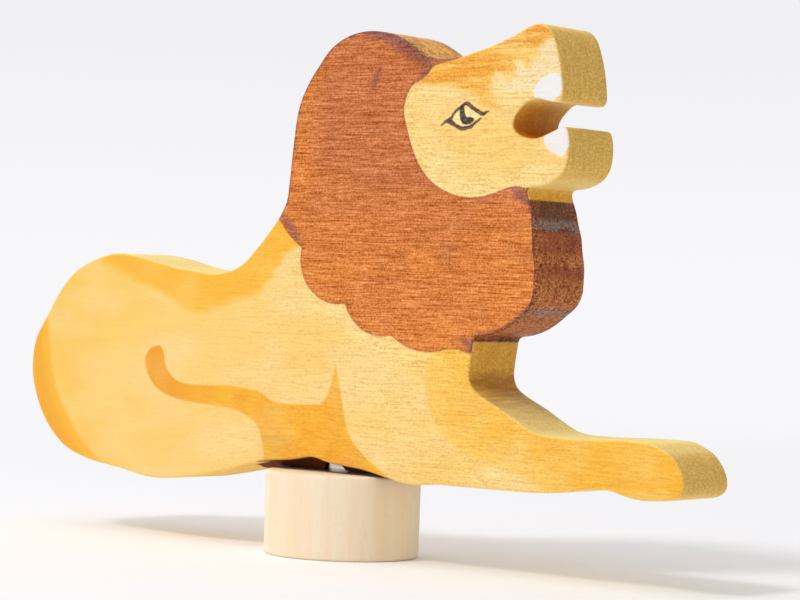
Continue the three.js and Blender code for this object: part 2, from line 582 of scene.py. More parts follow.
AREAS = (
    PaintedArea(
        "mane",
        ((0.36, 0.62), (0.405, 0.6), (0.416, 0.589), (0.432, 0.557)),
        ((0.452, 0.53), (0.451, 0.497), (0.46, 0.456), (0.477, 0.428), (0.493, 0.415), (0.506, 0.411)),
        ((0.522, 0.412), (0.532, 0.384), (0.548, 0.36), (0.566, 0.349), (0.582, 0.347)),
        ((0.593, 0.35), (0.606, 0.336), (0.623, 0.324), (0.645, 0.319), (0.662, 0.321)),
        ((0.674, 0.327), (0.689, 0.328), (0.705, 0.321), (0.712, 0.322)),
        *corners((0.73, 0.325), (0.86, 0.33)),
        ((0.86, 0.645), (0.79, 0.664)),
        (
            (0.777, 0.665), (0.763, 0.668), (0.748, 0.663), (0.731, 0.652), (0.71, 0.645), (0.688, 0.646),
            (0.666, 0.656), (0.65, 0.67), (0.636, 0.689), (0.622, 0.721), (0.613, 0.753), (0.605, 0.792),
            (0.6, 0.825), (0.604, 0.857),
        ),
        ((0.611, 0.879), (0.631, 0.898), (0.641, 0.917), (0.659, 0.926), (0.68, 0.936)),
        *corners((0.69, 0.96), (0.69, 1.1), (0.36, 1.1)),
    ),
    PaintedArea(
        "brow",
        ((0.59, 0.885), (0.633, 0.882), (0.667, 0.875), (0.7, 0.854), (0.714, 0.838)),
        ((0.737, 0.828), (0.727, 0.855), (0.725, 0.879)),
        ((0.729, 0.904), (0.739, 0.893), (0.746, 0.88), (0.757, 0.89)),
        ((0.76, 0.925), (0.768, 0.915), (0.777, 0.905), (0.782, 0.925)),
        ((0.79, 0.936), (0.79, 0.95), (0.8, 0.966)),
        *corners((0.812, 0.975), (0.83, 1.1), (0.59, 1.1)),
    ),
    PaintedArea(
        "upper_tooth",
        (
            (0.795, 0.836), (0.786, 0.85), (0.784, 0.864), (0.788, 0.876), (0.793, 0.885), (0.8, 0.892),
            (0.807, 0.896), (0.813, 0.895), (0.819, 0.89), (0.8205, 0.879), (0.821, 0.867), (0.82, 0.855),
            (0.815, 0.848),
        ),
        *corners((0.812, 0.836)),
    ),
    PaintedArea(
        "lower_tooth",
        (
            (0.803, 0.79), (0.801, 0.768), (0.8, 0.758), (0.803, 0.748), (0.809, 0.739), (0.816, 0.735),
            (0.823, 0.73), (0.828, 0.733), (0.832, 0.745),
        ),
        *corners((0.84, 0.765), (0.84, 0.8)),
    ),
    PaintedArea(
        "back_band",
        (
            (0.09, 0.49), (0.108, 0.484), (0.135, 0.472), (0.171, 0.45), (0.206, 0.43), (0.241, 0.4),
            (0.275, 0.382), (0.309, 0.382), (0.335, 0.398), (0.36, 0.412), (0.385, 0.425), (0.403, 0.455),
            (0.414, 0.485), (0.431, 0.515),
        ),
        *corners((0.45, 0.535), (0.44, 0.66), (0.36, 0.66), (0.05, 0.6)),
    ),
    PaintedArea(
        "rump_stripe",
        (
            (0.02, 0.372), (0.029, 0.341), (0.031, 0.309), (0.038, 0.238), (0.051, 0.176), (0.07, 0.125),
            (0.092, 0.078), (0.12, 0.039),
        ),
        *corners((0.15, 0.012), (0.15, -0.05), (-0.05, -0.05), (-0.05, 0.372)),
    ),
    PaintedArea(
        "tail",
        (
            (0.226, 0.301), (0.21, 0.292), (0.202, 0.27), (0.206, 0.24), (0.219, 0.21), (0.239, 0.191),
            (0.269, 0.181), (0.304, 0.175), (0.342, 0.171), (0.37, 0.161), (0.389, 0.142), (0.399, 0.114),
            (0.405, 0.064),
        ),
        *corners((0.406, 0.0)),
        (
            (0.62, 0.0), (0.612, 0.036), (0.591, 0.056), (0.554, 0.098), (0.534, 0.139), (0.525, 0.189),
            (0.518, 0.24),
        ),
        ((0.511, 0.284), (0.507, 0.247), (0.5, 0.214)),
        (
            (0.49, 0.193), (0.455, 0.19), (0.425, 0.19), (0.409, 0.197), (0.393, 0.212), (0.372, 0.217),
            (0.341, 0.22), (0.299, 0.217), (0.267, 0.219), (0.247, 0.235), (0.237, 0.26), (0.233, 0.288),
        ),
    ),
    PaintedArea(
        "leg",
        (
            (0.645, 0.36), (0.652, 0.317), (0.648, 0.278), (0.648, 0.235), (0.657, 0.186), (0.676, 0.146),
            (0.706, 0.117), (0.73, 0.104), (0.76, 0.088), (0.785, 0.08), (0.812, 0.06),
        ),
        *corners((0.83, 0.02), (1.1, 0.02), (1.1, 0.36)),
    ),
    PaintedArea("chin_rim", *corners((0.74, 0.641), (0.8, 0.641), (0.84, 0.7), (0.74, 0.7))),
    PaintedArea("throat_rim", *corners((0.69, 0.346), (0.69, 0.2), (0.75, 0.2), (0.75, 0.346))),
    PaintedArea(
        "mouth",
        *corners((0.74, 0.745)),
        ((0.795, 0.752), (0.815, 0.788), (0.812, 0.812), (0.795, 0.832)),
        *corners((0.775, 0.838), (0.74, 0.85)),
    ),
    # Where painted shade darkens the arch and its rib over the base.
    PaintedArea("arch", *corners((0.372, -0.05), (0.6, -0.05), (0.6, 0.12), (0.372, 0.12))),
    PaintedArea(
        "eye_white",
        ((0.669, 0.8055), (0.6735, 0.815), (0.683, 0.829), (0.691, 0.835), (0.695, 0.832), (0.703, 0.823)),
        ((0.712, 0.815), (0.705, 0.8025), (0.698, 0.794), (0.688, 0.79), (0.679, 0.7935)),
    ),
)

# Each group of strokes: its name, how far from them its depth is told, and the strokes
STROKES: tuple[tuple[Any, ...], ...] = (
    (
        "lids",
        2.0,
        BrushStroke(
            (
                (0.6666, 0.806), (0.67, 0.81), (0.673, 0.819), (0.678, 0.826), (0.683, 0.8315),
                (0.6876, 0.837), (0.6914, 0.8384), (0.695, 0.835), (0.699, 0.83), (0.703, 0.826),
                (0.7076, 0.822), (0.712, 0.8175), (0.716, 0.817), (0.719, 0.82), (0.7226, 0.822),
            ),
            (0.2, 0.17, 0.14, 0.17, 0.18, 0.2, 0.25, 0.25, 0.23, 0.22, 0.24, 0.21, 0.19, 0.14, 0.04),
        ),
        BrushStroke(
            (
                (0.6547, 0.793), (0.6585, 0.798), (0.662, 0.802), (0.6667, 0.802), (0.671, 0.7985),
                (0.675, 0.794), (0.679, 0.791), (0.6837, 0.787), (0.688, 0.787), (0.694, 0.789),
                (0.698, 0.791), (0.701, 0.795), (0.705, 0.8), (0.709, 0.804), (0.712, 0.808),
            ),
            (0.03, 0.12, 0.17, 0.31, 0.3, 0.22, 0.2, 0.27, 0.25, 0.21, 0.21, 0.19, 0.14, 0.1, 0.05),
        ),
    ),
    (
        "pupil",
        2.0,
        BrushStroke(
            (
                (0.684, 0.831), (0.6847, 0.822), (0.6853, 0.814), (0.687, 0.8065), (0.69, 0.803),
                (0.695, 0.803), (0.6985, 0.8045), (0.701, 0.806),
            ),
            (0.26, 0.36, 0.4, 0.46, 0.46, 0.44, 0.3, 0.08),
        ),
    ),
    (
        "smudge",
        4.0,
        BrushStroke(
            (
                (0.54, 0.999), (0.565, 0.99), (0.5785, 0.979), (0.595, 0.963), (0.609, 0.947),
                (0.624, 0.934), (0.636, 0.92),
            ),
            (0.3, 0.8, 1.1, 1.1, 1.0, 0.9, 0.5),
        ),
        BrushStroke(
            ((0.636, 0.9185), (0.6315, 0.906), (0.622, 0.894), (0.613, 0.884)),
            (0.5, 0.8, 0.6, 0.2),
        ),
        BrushStroke(((0.565, 0.925), (0.558, 0.9), (0.553, 0.873)), (0.1, 0.45, 0.1)),
        BrushStroke(((0.416, 0.606), (0.433, 0.573), (0.449, 0.547)), (0.5, 0.8, 0.4)),
        BrushStroke(((0.757, 0.665), (0.767, 0.656), (0.776, 0.64)), (0.2, 0.6, 0.4)),
        BrushStroke(((0.697, 0.353), (0.7055, 0.339), (0.71, 0.325)), (0.3, 0.6, 0.4)),
    ),
)


# Pieces


@dataclass
class SawnBoard:
    """The lion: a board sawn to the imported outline, its edges sanded round.

    A low rib under its belly, in the middle of its thickness, closes the arch over the base.
    """

    node: str = "lion_figure"
    body: str = "figure"
    slot: str = "painted_wood"
    weld_digits: int = 4
    level_room: float = 1e-3
    front_share: float = 0.6
    ring_step: float = 0.34
    fine_per_step: int = 4
    smoothing: float = 0.25
    smoothing_reach: int = 16
    bend_reach: int = 2
    round_share: float = 0.8
    edge_round: float = 0.32
    round_steps: int = 5
    wall_rows: int = 16
    face_step: float = 0.45
    face_margin_share: float = 0.6
    eye_step: float = 0.11
    eye_window_shares: tuple[Point, Point] = ((0.650, 0.772), (0.729, 0.848))
    # The rib, washed dark brown, stands in for the deep shade under the belly: it is painted shade.
    rib_half: float = 1.4
    rib_fade: float = 1.0
    rib_room: float = 0.12
    rib_reach: float = 13.3
    rib_drop: float = 0.5
    rib_gap: float = 0.4
    bore_room: float = 0.3
    bore_sides: int = 48
    rim_share: float = 0.6
    hollow: float = 6.0
    hollow_depth: float = 0.12

    def __post_init__(self) -> None:
        """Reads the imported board's box and outline."""
        low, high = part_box(self.node)
        self.low = np.array(low) / MM
        self.high = np.array(high) / MM
        self.half = (self.high[1] - self.low[1]) / 2
        self.size = (self.high - self.low)[[0, 2]]
        self.corner = self.low[[0, 2]]
        self.ring = self.even_ring(self.packed_ring())

    def packed_ring(self) -> Array:
        """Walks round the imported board's full outline, just behind its front edge's round.

        Returns:
            The outline's X and Z, counter-clockwise as seen from the front.
        """
        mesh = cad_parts[self.node].data
        places = np.round(read_vectors(mesh, "co") / MM, self.weld_digits)
        unique, number = np.unique(places, axis=0, return_inverse=True)
        number = number.ravel()
        level = unique[unique[:, 1] < -self.front_share * self.half][:, 1].max()
        on_level = np.abs(unique[:, 1] - level) < self.level_room
        neighbours: dict[int, set[int]] = {}
        for polygon in mesh.polygons:
            ids = [int(number[v]) for v in polygon.vertices]
            for first, second in zip(ids, ids[1:] + ids[:1]):
                if first != second and on_level[first] and on_level[second]:
                    neighbours.setdefault(first, set()).add(second)
                    neighbours.setdefault(second, set()).add(first)
        start = min(neighbours, key=lambda v: abs(unique[v, 0]) + unique[v, 2])
        walked = [start]
        current = max(neighbours[start], key=lambda v: unique[v, 0])
        while current != start:
            walked.append(current)
            current = [v for v in neighbours[current] if v != walked[-2]][0]
        return unique[walked][:, [0, 2]]

    def even_ring(self, ring: Array) -> Array:
        """Spaces a ring's points evenly and smooths its facets.

        Args:
            ring: The ring.

        Returns:
            The even, smooth ring.
        """
        closed = np.vstack([ring, ring[:1]])
        along = np.concatenate([[0], np.cumsum(np.hypot(*np.diff(closed, axis=0).T))])
        fine_count = self.fine_per_step * round(along[-1] / self.ring_step)
        fine = np.arange(fine_count) * along[-1] / fine_count
        dense = np.stack([np.interp(fine, along, closed[:, axis]) for axis in (0, 1)], 1)
        shifts = range(-self.smoothing_reach, self.smoothing_reach + 1)
        reach = np.array(shifts) * along[-1] / fine_count
        weights = np.exp(-0.5 * (reach / self.smoothing) ** 2)
        weights /= weights.sum()
        smooth = sum(w * np.roll(dense, -k, 0) for k, w in zip(shifts, weights))
        return smooth[:: self.fine_per_step]

    def inset(self) -> Array:
        """Finds how far, and which way, each point of the outline moves in under the edge's round.

        Returns:
            Each point's shift, which is shorter where the outline turns tightly.
        """
        ahead = np.roll(self.ring, -1, 0) - self.ring
        behind = self.ring - np.roll(self.ring, 1, 0)
        along = np.roll(self.ring, -2, 0) - np.roll(self.ring, 2, 0)
        along /= np.hypot(*along.T)[:, None]
        turn = ahead[:, 1] * behind[:, 0] - ahead[:, 0] * behind[:, 1]
        bend = turn / np.hypot(*ahead.T) ** 3
        shifts = range(-self.bend_reach, self.bend_reach + 1)
        wide = sum(np.roll(bend, k) for k in shifts) / len(shifts)
        room = np.where(wide > TINY, self.round_share / np.maximum(wide, TINY), np.inf)
        return np.minimum(self.edge_round, room)[:, None] * np.stack([-along[:, 1], along[:, 0]], 1)

    def rows(self) -> list[tuple[float, float]]:
        """Lists the rows of vertices across the edge, from the front face to the back.

        Returns:
            Each row's Y, and its inset as a share of the edge's round.
        """
        angles = np.linspace(0, math.pi / 2, self.round_steps + 1)
        front = [(-self.half + self.edge_round * (1 - math.cos(a)), 1 - math.sin(a)) for a in angles]
        wall = np.linspace(front[-1][0], -front[-1][0], self.wall_rows + 1)[1:-1]
        back = [(-y, inset) for y, inset in reversed(front)]
        return front + [(float(y), 0.0) for y in wall] + back

    def face_points(self, ring: Array) -> Array:
        """Spreads points over a face, closely round the eye.

        Args:
            ring: The face's border.

        Returns:
            The points inside.
        """
        window_low, window_high = self.corner + np.array(self.eye_window_shares) * self.size
        wide = honeycomb(self.corner, self.corner + self.size, self.face_step)
        wide = wide[~np.all((wide > window_low) & (wide < window_high), axis=1)]
        wide = wide[depth_inside(wide, ring[::2]) > self.face_margin_share * self.face_step]
        return np.vstack([wide, honeycomb(window_low, window_high, self.eye_step)])

    def hang_rib(self, layer: Array, y: float) -> None:
        """Lowers one row of the belly's vertices towards the base, most in the middle of the thickness.

        Args:
            layer: X and Z of the row's vertices, which are moved.
            y: Where the row lies.
        """
        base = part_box("wooden_base")[1]
        x, z = layer.T
        over_base = (np.abs(x) < self.rib_reach) & (z < self.rib_reach)
        beside = smooth_share((-x - base.x / MM - self.rib_gap) / self.rib_gap)
        beside = beside * smooth_share((self.rib_reach + x) / self.rib_fade)
        lowest = base.z / MM + self.rib_room - self.rib_drop * beside
        share = 1 - smooth_share((abs(y) - self.rib_half) / self.rib_fade)
        layer[:, 1] -= np.where(over_base, np.maximum(z - lowest, 0) * share, 0)

    def build(self) -> Object:
        """Makes the board's closed mesh.

        Returns:
            The piece, not yet bored or dressed.
        """
        inset = self.inset()
        rows = self.rows()
        count = len(self.ring)
        vertices = []
        for y, share in rows:
            layer = self.ring + inset * share
            self.hang_rib(layer, y)
            vertices.append(np.stack([layer[:, 0], np.full(count, y), layer[:, 1]], 1))
        last_row = (len(rows) - 1) * count
        faces: list[list[int]] = []
        for near in range(0, last_row, count):
            for i in range(count):
                j = (i + 1) % count
                faces.append([near + i, near + count + i, near + count + j, near + j])
        border = vertices[0][:, [0, 2]]
        inner = self.face_points(border)
        loop = [(i, (i + 1) % count) for i in range(count)]
        found = delaunay_2d_cdt([Vector(p) for p in np.vstack([border, inner])], loop, [], 1, TINY)
        originals = [ids[0] for ids in found[3]]
        triangles = [[originals[v] for v in triangle] for triangle in found[2]]
        for side in Side:
            is_front = side is Side.FRONT
            first_ring = 0 if is_front else last_row
            first_inner = last_row + count + (0 if is_front else len(inner))
            vertices.append(np.insert(inner, 1, side.value * self.half, axis=1))
            for ids in triangles:
                mapped = [first_ring + v if v < count else first_inner + v - count for v in ids]
                faces.append(mapped if is_front else mapped[::-1])
        return new_piece("painted_lion", np.vstack(vertices), [], faces)

    def bore(self, piece: Object) -> None:
        """Cuts the pin's blind hole up into the belly.

        Args:
            piece: The board.
        """
        pin_low, pin_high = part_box("metal_pin")
        radius = ((pin_high.x - pin_low.x) / 2 / MM + self.bore_room) * MM
        top = pin_high.z / MM + self.bore_room
        bottom = self.low[2]
        work = bmesh.new()
        bmesh.ops.create_cone(
            work,
            cap_ends=True,
            segments=self.bore_sides,
            radius1=radius,
            radius2=radius,
            depth=(top - bottom) * MM,
            matrix=Matrix.Translation((0, 0, (top + bottom) / 2 * MM)),
        )
        mesh = bpy.data.meshes.new("bore_cutter")
        work.to_mesh(mesh)
        work.free()
        cutter = add_object("bore_cutter", mesh)
        cut = piece.modifiers.new("bore", "BOOLEAN")
        cut.operation = "DIFFERENCE"
        cut.solver = "MANIFOLD"
        cut.object = cutter
        keep_evaluated(piece)
        bpy.data.objects.remove(cutter)

    def mark(self, piece: Object) -> None:
        """Writes at each vertex how deep it lies in each painted area, and where on the board it is.

        Args:
            piece: The board.
        """
        mesh = piece.data
        places = read_vectors(mesh, "co") / MM
        flat = places[:, [0, 2]] - self.corner
        ring = self.ring - self.corner
        marks = {area.name: depth_inside(flat, area.ring(self.size)) for area in AREAS}
        marks["tooth"] = np.maximum(marks.pop("upper_tooth"), marks.pop("lower_tooth"))
        marks["bare_rim"] = np.maximum(marks.pop("chin_rim"), marks.pop("throat_rim"))
        for name, reach, *strokes in STROKES:
            depth = np.max([stroke.depth(flat, self.size) for stroke in strokes], axis=0)
            marks[name] = np.clip(depth, -reach, reach)
        marks["from_edge"] = distance_to_chords(flat, np.vstack([ring[::2], ring[:1]]))
        marks["length_share"], marks["height_share"] = (flat / self.size).T
        marks["end_grain"] = np.abs(read_vectors(mesh, "normal")[:, 0])
        marks["in_from_face"] = self.half - np.abs(places[:, 1])
        marks["rim"] = np.clip(marks["in_from_face"] / (self.rim_share * self.edge_round), 0, 1)
        for name, values in marks.items():
            mesh.attributes.new(name, "FLOAT", "POINT").data.foreach_set("value", values.astype(np.float32))


@dataclass
class TurnedPiece:
    """A piece turned on a lathe: a profile swept round the pin's axis."""

    name: str
    node: str
    body: str
    slot: str
    sides: int
    edge_round: float
    bore_radius: float = 0.0
    bore_depth: float = 0.0
    bore_lip: float = 0.15
    step: float = 0.4
    round_points: int = 5
    tool_mark: float = 0.5
    tool_depth_share: float = 0.002

    def __post_init__(self) -> None:
        """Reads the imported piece's radius and its two ends."""
        low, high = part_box(self.node)
        self.radius = (high.x - low.x) / 2 / MM
        self.bottom = low.z / MM
        self.top = high.z / MM

    def eased(self, centre_height: float, first_angle: float) -> list[Point]:
        """Rounds one edge in a quarter turn.

        Args:
            centre_height: The height of the round's centre.
            first_angle: Where the quarter turn starts, in radians up from level.

        Returns:
            Radius and height of each point.
        """
        angles = first_angle + np.linspace(0, math.pi / 2, self.round_points)
        centre = self.radius - self.edge_round
        radii = centre + self.edge_round * np.cos(angles)
        return list(zip(radii, centre_height + self.edge_round * np.sin(angles)))

    def profile(self) -> Array:
        """Draws the profile from the axis at the bottom to the axis at the top.

        Returns:
            Radius and height of each point.
        """
        outline: list[Point] = [(0.0, self.bottom)]
        outline += self.eased(self.bottom + self.edge_round, -math.pi / 2)
        outline += self.eased(self.top - self.edge_round, 0.0)
        floor = self.top - self.bore_depth
        if self.bore_radius:
            outline.append((self.bore_radius + self.bore_lip, self.top))
            outline.append((self.bore_radius, self.top - self.bore_lip))
            outline.append((self.bore_radius, floor))
        outline.append((0.0, floor))
        drawn = [np.array(outline[0])]
        for start, end in zip(outline[:-1], outline[1:]):
            span = np.array(end) - np.array(start)
            chords = max(1, math.ceil(float(np.hypot(*span)) / self.step))
            drawn += [np.array(start) + span * k / chords for k in range(1, chords + 1)]
        return np.array(drawn)

    def build(self, lathe: FormBuilder, material: Material) -> Object:
        """Turns the piece.

        Args:
            lathe: The tree that sweeps a profile round the axis.
            material: The piece's finish.

        Returns:
            The piece.
        """
        line = np.insert(self.profile(), 1, 0.0, axis=1)
        piece = new_piece(self.name, line, [(i, i + 1) for i in range(len(line) - 1)], [])
        sizes = {
            "Sides": self.sides,
            "Tool Mark": self.tool_mark * MM,
            "Tool Depth Share": self.tool_depth_share,
            "Material": material,
        }
        lathe.apply(piece, sizes)
        face_outwards(piece)
        return piece


def lathe_tree() -> FormBuilder:
    """Builds the tree that turns a profile of edges in the XZ plane round the Z axis.

    Returns:
        The tree, whose named inputs are the number of sides, the tool marks' size and depth, and the
        material.
    """
    tool_seed = 7.0
    grid_edge = 0.5
    kinds = {
        "Sides": "NodeSocketInt",
        "Tool Mark": "NodeSocketFloat",
        "Tool Depth Share": "NodeSocketFloat",
        "Material": "NodeSocketMaterial",
    }
    form = FormBuilder("lathe", kinds)
    profile = form.given["Geometry"]
    given = {"Geometry": profile}
    points = form.channel("GeometryNodeAttributeDomainSize", given, "Point Count", component="MESH")
    grid = {"Size X": 1.0, "Size Y": 1.0, "Vertices X": points, "Vertices Y": form.size("Sides") + 1}
    sheet = form.node("GeometryNodeMeshGrid", grid)
    place = form.node("GeometryNodeInputPosition").outputs[0]
    share = form.node("ShaderNodeSeparateXYZ", {0: place}).outputs
    number = ((Channel(form, share["X"]) + grid_edge) * (points - 1)).math("ROUND")
    turn = (Channel(form, share["Y"]) + grid_edge) * (2 * math.pi)
    drawn = form.node(
        "GeometryNodeSampleIndex",
        {"Geometry": profile, "Value": place, "Index": number},
        data_type="FLOAT_VECTOR",
        domain="POINT",
    )
    at = form.node("ShaderNodeSeparateXYZ", {0: drawn.outputs[0]}).outputs
    up = Channel(form, at["Z"])
    tooling = {"W": up / form.size("Tool Mark") + tool_seed, "Scale": 1.0, "Detail": 1.0}
    marks = form.channel("ShaderNodeTexNoise", tooling, noise_dimensions="1D")
    out = Channel(form, at["X"]) * (1 - marks * form.size("Tool Depth Share"))
    round_axis = {0: out * turn.math("COSINE"), 1: out * turn.math("SINE"), 2: up}
    swept = form.node("ShaderNodeCombineXYZ", round_axis)
    moved = {"Geometry": sheet.outputs["Mesh"], "Position": swept.outputs[0]}
    turned = form.node("GeometryNodeSetPosition", moved)
    whole = form.node("GeometryNodeMergeByDistance", {"Geometry": turned.outputs[0], "Distance": MERGE_M})
    form.close(whole.outputs[0])
    return form


def sanding_tree() -> FormBuilder:
    """Builds the tree that lets a hand-sanded surface wander in and out a little.

    Returns:
        The tree, whose named inputs are the size and depth of the hollows and the material.
    """
    hollow_seed = 3.0
    kinds = {"Hollow": "NodeSocketFloat", "Depth": "NodeSocketFloat", "Material": "NodeSocketMaterial"}
    form = FormBuilder("hand_sanding", kinds)
    place = form.node("GeometryNodeInputPosition").outputs[0]
    normal = form.node("GeometryNodeInputNormal").outputs[0]
    sockets = {"Vector": place, "W": hollow_seed, "Scale": 1 / form.size("Hollow"), "Detail": 1.0}
    hollows = form.channel("ShaderNodeTexNoise", sockets, noise_dimensions="4D")
    shift = form.vector("SCALE", {0: normal, "Scale": hollows.sway(form.size("Depth"))})
    sanded = form.node("GeometryNodeSetPosition", {"Geometry": form.given["Geometry"], "Offset": shift})
    form.close(sanded.outputs[0])
    return form


# Finishes


@dataclass(frozen=True)
class LionPaint:
    """Thin water paints over pale sanded wood, grain showing through; some colours are painted light and
    shade.
    """

    straw: Colour = paint(253, 216, 141)
    straw_deep: Colour = paint(252, 201, 88)
    cream: Colour = paint(250, 226, 178)
    amber_light: Colour = paint(253, 198, 80)
    amber: Colour = paint(252, 186, 58)
    ginger: Colour = paint(239, 153, 38)
    pore: Colour = paint(216, 160, 76)
    end_grain: Colour = paint(232, 186, 92)
    end_grain_gold: Colour = paint(230, 174, 64)
    side_grain: Colour = paint(255, 227, 138)
    # Painted shade in the neck's bend, under the chest.
    bend_shade_brown: Colour = paint(176, 112, 34)
    # The mouth's wall: brown paint pooled there, with painted shade darkening it lower down.
    mouth_gold: Colour = paint(210, 154, 56)
    mouth_paint_and_shade_brown: Colour = paint(200, 120, 14)
    # Painted shade on the arch and its rib, over the base.
    arch_shade_brown: Colour = paint(112, 54, 22)
    mane: Colour = paint(202, 116, 64)
    mane_orange: Colour = paint(223, 132, 58)
    # Painted sheen: glints on flecks in the mane.
    mane_sheen_fleck: Colour = paint(246, 180, 120)
    crest_gold: Colour = paint(234, 168, 66)
    violet: Colour = paint(108, 66, 78)
    umber: Colour = paint(120, 72, 46)
    white: Colour = paint(244, 240, 240)
    eye_cream: Colour = paint(255, 234, 170)
    lid_ink: Colour = paint(80, 52, 54)
    pupil_ink: Colour = paint(50, 43, 52)
    bark: Colour = paint(106, 62, 34)
    # Painted sheen: a grey band on the chest's sawn edge.
    sheen_grey: Colour = paint(136, 110, 100)
    russet: Colour = paint(158, 82, 38)
    tan: Colour = paint(180, 106, 48)
    wine: Colour = paint(92, 42, 38)
    roughness: float = 0.58
    relief: float = 0.03
    straw_grain: float = 0.5
    fringe_grain: float = 0.3
    brow_grain: float = 0.2
    mane_grain: float = 1.6
    tooth_cover: float = 0.8
    sawn_least: float = 0.05
    sawn_cut: float = 0.48
    sawn_mane: float = 0.75
    sawn_chest: float = 0.5

    def chest_light_and_shade_bands(self) -> tuple[tuple[float, Colour], ...]:
        """Lists the bands of the chest's sawn edge: brown paint with bands of painted light, shade and
        sheen.

        Returns:
            Each stop's height share and colour, from the throat up.
        """
        bands = (
            (self.wine, 0.348),
            (self.tan, 0.364, 0.400),
            (self.sheen_grey, 0.412),
            (self.tan, 0.426, 0.478),
            (self.russet, 0.488, 0.506),
            (self.tan, 0.514, 0.530),
            (self.russet, 0.538, 0.574),
            (self.bark, 0.580),
            (self.sheen_grey, 0.584, 0.600),
            (self.bark, 0.606, 0.645),
        )
        return tuple((height, colour) for colour, *heights in bands for height in heights)

    def material(self) -> Material:
        """Paints the board."""
        return LionPainter(self).build()


class LionPainter(ShaderBuilder):
    """Lays the lion's paints and painted light and shade over each other, with the grain of the board under
    them.

    Its masks are made of the numbers that the board carries at each vertex: depths and distances in
    millimetres, and places in shares of the figure's length and height.
    """

    def __init__(self, paints: LionPaint) -> None:
        """Starts the material and lays out the grain and the places on the board.

        Args:
            paints: The colours.
        """
        super().__init__("lion_paint", paints.straw)
        self.paints = paints
        self.rim = self.attribute("rim")
        self.face = 1 - self.rim
        self.length = self.attribute("length_share")
        self.height = self.attribute("height_share")
        self.tooth = self.attribute("tooth")
        self.brow = self.attribute("brow")
        self.mane = self.attribute("mane")
        self.end_grain = self.attribute("end_grain")
        self.from_edge = self.attribute("from_edge")
        self.in_from_face = self.attribute("in_from_face")
        self.thread = self.noise((0.05, 1.0, 1.0), per_mm=5.2, detail=1.0, roughness=0.6, seed=1.0)
        self.dash = self.noise((0.2, 1.0, 1.0), per_mm=4.4, detail=1.0, roughness=0.5, seed=2.0)
        self.band = self.noise((0.10, 1.0, 1.0), per_mm=0.7, detail=3.0, roughness=0.6, seed=7.0)
        self.patch = self.noise((0.6, 1.0, 1.0), per_mm=0.45, detail=3.0, roughness=0.6, seed=4.0)
        self.cloud = self.noise((0.5, 1.0, 1.0), per_mm=0.16, detail=2.0, roughness=0.5, seed=3.0)
        self.pore = self.noise((0.2, 1.0, 1.0), per_mm=4.4, detail=1.0, roughness=0.5, seed=8.0)
        self.ring = self.noise((0.6, 1.0, 0.35), per_mm=1.3, detail=1.0, roughness=0.5, seed=9.0)
        self.speckle = self.noise((1.0, 0.75, 1.0), per_mm=4.0, detail=0.0, roughness=0.5, seed=10.0)
        self.year = self.noise((1.0, 0.12, 1.0), per_mm=1.6, detail=1.0, roughness=0.6, seed=11.0)
        self.bleed = self.thread.sway(0.5) + self.dash.sway(0.3)
        self.front = self.length.step(0.69, 0.70)
        self.before_paw = self.length.step(0.88, 0.84)
        self.chest = self.front * self.height.step(0.70, 0.66)
        self.open_grain = (self.length.step(0.18, 0.64) * self.length.step(1.3, 0.72)).between(0.12, 1.0)

    def wash_straw(self) -> None:
        """Washes the whole board in straw, deeper at the rump and paler at the snout."""
        paints = self.paints
        deep = self.cloud.step(0.38, 0.62) + self.length.step(0.30, 0.05)
        self.lay(paints.straw_deep, deep, strength=0.45)
        self.lay(paints.cream, self.length.step(0.712, 0.75) * self.height.step(0.84, 0.88), strength=0.75)

    def paint_amber(self) -> None:
        """Paints the leg, the back, the rump, the tail and the brow."""
        paints = self.paints
        leg = self.attribute("leg")
        self.lay(paints.amber_light, (leg + self.bleed * 2.0).step(-0.5, 0.5) * self.face, strength=0.75)
        body = (leg + self.patch.sway(9.0)).step(1.6, 3.6) * self.face
        towards_paw = self.length.step(0.74, 0.92).between(0.5, 0.95)
        self.lay(paints.amber, body * self.patch.step(0.25, 0.6).between(0.4, 1.0) * towards_paw)
        back = self.attribute("back_band")
        fringe = (back + self.patch.sway(1.8) + self.bleed * 2.0).step(-0.4, 0.4)
        self.lay(paints.amber_light, fringe * self.face, strength=0.75)
        self.lay(paints.amber, (back + self.patch.sway(2.4)).step(0.0, 1.1) * self.face, strength=0.9)
        rump = self.attribute("rump_stripe")
        self.lay(paints.amber, (rump + self.bleed * 1.5).step(-0.4, 0.5) * self.face, strength=0.95)
        self.lay(paints.ginger, (rump + self.bleed).step(0.6, 2.6) * self.face, strength=0.4)
        tip = self.length.step(0.34, 0.23) * 0.7
        tail_paint = self.mix(tip | self.patch.step(0.35, 0.65) * 0.5, paints.amber, paints.ginger)
        self.lay(tail_paint, (self.attribute("tail") + self.bleed * 0.5).step(-0.16, 0.16) * self.face)
        brow = (self.brow + self.bleed * 3.0 + self.band.sway(1.5)).step(-0.4, 0.5) * self.face
        self.lay(paints.amber_light, brow, strength=0.75)
        self.lay(paints.ginger, brow * self.band.step(0.42, 0.58), strength=0.75)

    def stain_rim(self) -> None:
        """Darkens end grain; paints light on the leg, brown shade in neck and arch, brown paint and shade
        in mouth.
        """
        paints = self.paints
        throat = self.height.step(0.675, 0.655) * self.before_paw
        cut = self.mix(throat, paints.end_grain, paints.end_grain_gold)
        # Painted light: the leg's up-facing slope keeps its pale side-grain colour.
        lit_slope = self.height.step(0.25, 0.20) * self.length.step(0.66, 0.70) * self.before_paw
        across = self.end_grain.step(0.1, 0.8) * (1 - lit_slope * 0.6)
        self.lay(self.mix(across, paints.side_grain, cut), self.rim)
        # Painted shade in the neck's bend under the chest, broken by the year rings.
        neck = self.front * self.length.step(0.84, 0.70) * self.height.step(0.15, 0.24) * self.rim
        bend = neck * self.height.step(0.295, 0.262)
        self.lay(paints.bend_shade_brown, bend * self.year.step(0.3, 0.6).between(0.35, 0.75))
